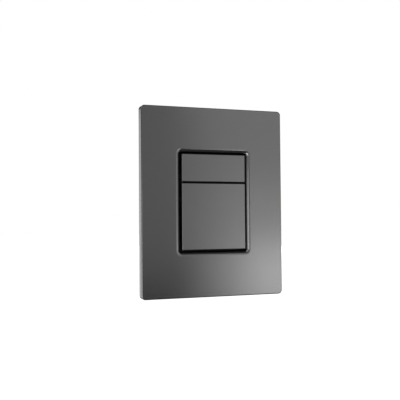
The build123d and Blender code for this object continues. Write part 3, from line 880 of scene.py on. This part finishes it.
class FLUSHPLATE_OT_wall_frame(bpy.types.Operator):
    """White wall frame, its spring clips and the foam strip round the rim"""

    bl_idname = "flush_plate.wall_frame"
    bl_label = "Wall frame, clips and seal"

    def execute(self, context):
        detail = context.scene.flush_plate_detail
        softened("mounting_frame", "frame_moulding", "white_plastic", detail.moulded_edge)
        softened("wall_seal", "foam_strip", "foam_rubber", detail.rubber_edge)
        for level in ("upper", "lower"):
            for side in ("left", "right"):
                corner = f"{level}_{side}"
                softened(f"{corner}_clip", f"{corner}_spring", "spring_steel", detail.strip_edge)
        return {"FINISHED"}


def softbox(name, left, right, low, high, distance, brightness):
    """Add a soft area light that faces the plate and fills a range of directions seen from it.

    Its left and right edge are turns to the right from straight in front of the plate, and its low and
    high edge are angles above the level. All four are in degrees.
    """
    across, up = radians(left + right) / 2, radians(low + high) / 2
    towards = Vector((sin(across) * cos(up), -cos(across) * cos(up), sin(up)))
    data = bpy.data.lights.new(name, "AREA")
    data.shape = "RECTANGLE"
    data.size = 2 * distance * tan(radians(right - left) / 2) * cos(up)
    data.size_y = 2 * distance * tan(radians(high - low) / 2)
    data.energy = brightness * pi * data.size * data.size_y
    light = bpy.data.objects.new(name, data)
    light.location = towards * distance
    light.rotation_euler = (-towards).to_track_quat("-Z", "Y").to_euler()
    light.visible_camera = False
    bpy.context.scene.collection.objects.link(light)


# Each softbox: its left, right, low and high edge in degrees, and its brightness
SOFTBOXES = {
    "right_softbox": (18, 59, -15, 31, 0.46),
    "key_softbox": (25, 37, -14, -4, 0.97),
    "key_fill_light": (20, 34, -13, 4, 0.19),
    "front_softbox": (-37, 18, -9, 41, 0.2),
    "left_softbox": (-63, 0, -17, 5, 0.78),
    "left_low_softbox": (-32, -22, -77, -17, 1.7),
    "left_high_softbox": (-66, -23, 19, 62, 0.88),
    "left_strip_light": (-27, -17, -40, -8, 3.9),
    "right_low_softbox": (57, 79, -35, -6, 0.39),
    "back_left_softbox": (-167, -118, -45, 14, 0.92),
    "back_low_softbox": (-160, -111, -57, -15, 1.5),
    "back_right_softbox": (125, 172, 0, 45, 1.6),
}


class FLUSHPLATE_OT_stage(bpy.types.Operator):
    """Pale floor, white backdrop, soft studio light and the camera"""

    bl_idname = "flush_plate.stage"
    bl_label = "Stage"

    def execute(self, context):
        stage = context.scene.flush_plate_stage
        self.make_room(context, stage)
        self.make_floor(context, stage)
        for name, (left, right, low, high, brightness) in SOFTBOXES.items():
            softbox(name, left, right, low, high, stage.light_distance, brightness)
        self.make_camera(context, stage)
        context.scene.view_settings.view_transform = "Standard"
        return {"FINISHED"}

    def make_room(self, context, stage):
        """Even grey light all round, with white behind the plate as the camera sees it."""
        world = bpy.data.worlds.new("studio")
        world.use_nodes = True
        tree = world.node_tree
        room = tree.nodes["Background"]
        room.inputs["Color"].default_value = WHITE
        room.inputs["Strength"].default_value = stage.room_light
        backdrop = tree.nodes.new("ShaderNodeBackground")
        backdrop.inputs["Color"].default_value = WHITE
        ray = tree.nodes.new("ShaderNodeLightPath")
        choice = tree.nodes.new("ShaderNodeMixShader")
        tree.links.new(ray.outputs["Is Camera Ray"], choice.inputs["Fac"])
        tree.links.new(room.outputs["Background"], choice.inputs[1])
        tree.links.new(backdrop.outputs["Background"], choice.inputs[2])
        tree.links.new(choice.outputs["Shader"], tree.nodes["World Output"].inputs["Surface"])
        context.scene.world = world

    def make_floor(self, context, stage):
        """A pale floor under the plate that reads as white and doesn't show in the metal."""
        mesh = bmesh.new()
        place = Matrix.Translation((0.0, 0.0, solid_box[0].z - stage.floor_gap))
        bmesh.ops.create_grid(mesh, x_segments=1, y_segments=1, size=stage.floor_side / 2, matrix=place)
        data = bpy.data.meshes.new("floor")
        mesh.to_mesh(data)
        mesh.free()
        floor = bpy.data.objects.new("floor", data)
        context.scene.collection.objects.link(floor)
        floor.visible_glossy = False
        material = bpy.data.materials.new("pale_floor")
        material.use_nodes = True
        shader = material.node_tree.nodes["Principled BSDF"]
        shader.inputs["Base Color"].default_value = (0.9, 0.9, 0.9, 1.0)
        shader.inputs["Roughness"].default_value = 1.0
        shader.inputs["Emission Color"].default_value = WHITE
        shader.inputs["Emission Strength"].default_value = 1.0
        data.materials.append(material)

    def make_camera(self, context, stage):
        """The camera at the photograph's angle."""
        data = bpy.data.cameras.new("camera")
        data.sensor_fit = "HORIZONTAL"
        data.sensor_width = SENSOR_WIDTH
        data.lens = SENSOR_WIDTH * stage.focal_pixels / PHOTO_SIDE
        camera = bpy.data.objects.new("camera", data)
        turn = Matrix.Rotation(-stage.camera_yaw, 3, "Z")
        tilt = Matrix.Rotation(pi / 2 + stage.camera_pitch, 3, "X")
        roll = Matrix.Rotation(stage.camera_roll, 3, "Z")
        camera.location = stage.camera_place
        camera.rotation_euler = (turn @ tilt @ roll).to_euler()
        context.scene.collection.objects.link(camera)
        context.scene.camera = camera


class FLUSHPLATE_PT_panel(bpy.types.Panel):
    """Sizes, finishes and steps of the flush button plate"""

    bl_idname = "FLUSHPLATE_PT_panel"
    bl_label = "Flush button plate"
    bl_space_type = "VIEW_3D"
    bl_region_type = "UI"
    bl_category = "Flush plate"

    def draw(self, context):
        for settings in SETTINGS:
            box = self.layout.box()
            group = getattr(context.scene, settings)
            for name in group.__annotations__:
                box.prop(group, name)
        for operator in OPERATORS:
            self.layout.operator(operator.bl_idname)


SETTINGS = {
    "flush_plate_finish": FLUSHPLATE_PG_finish,
    "flush_plate_detail": FLUSHPLATE_PG_detail,
    "flush_plate_stage": FLUSHPLATE_PG_stage,
}
OPERATORS = (
    FLUSHPLATE_OT_face_plate,
    FLUSHPLATE_OT_buttons,
    FLUSHPLATE_OT_carrier,
    FLUSHPLATE_OT_bellows,
    FLUSHPLATE_OT_pump_cups,
    FLUSHPLATE_OT_carrier_screws,
    FLUSHPLATE_OT_fixing_studs,
    FLUSHPLATE_OT_wall_frame,
    FLUSHPLATE_OT_stage,
)


def register():
    for settings, group in SETTINGS.items():
        bpy.utils.register_class(group)
        setattr(bpy.types.Scene, settings, PointerProperty(type=group))
    for operator in OPERATORS:
        bpy.utils.register_class(operator)
    bpy.utils.register_class(FLUSHPLATE_PT_panel)


def unregister():
    bpy.utils.unregister_class(FLUSHPLATE_PT_panel)
    for operator in reversed(OPERATORS):
        bpy.utils.unregister_class(operator)
    for settings, group in SETTINGS.items():
        delattr(bpy.types.Scene, settings)
        bpy.utils.unregister_class(group)


def main():
    """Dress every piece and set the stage."""
    register()
    bpy.ops.flush_plate.face_plate()
    bpy.ops.flush_plate.buttons()
    bpy.ops.flush_plate.carrier()
    bpy.ops.flush_plate.bellows()
    bpy.ops.flush_plate.pump_cups()
    bpy.ops.flush_plate.carrier_screws()
    bpy.ops.flush_plate.fixing_studs()
    bpy.ops.flush_plate.wall_frame()
    bpy.ops.flush_plate.stage()


if __name__ == "__main__":
    main()
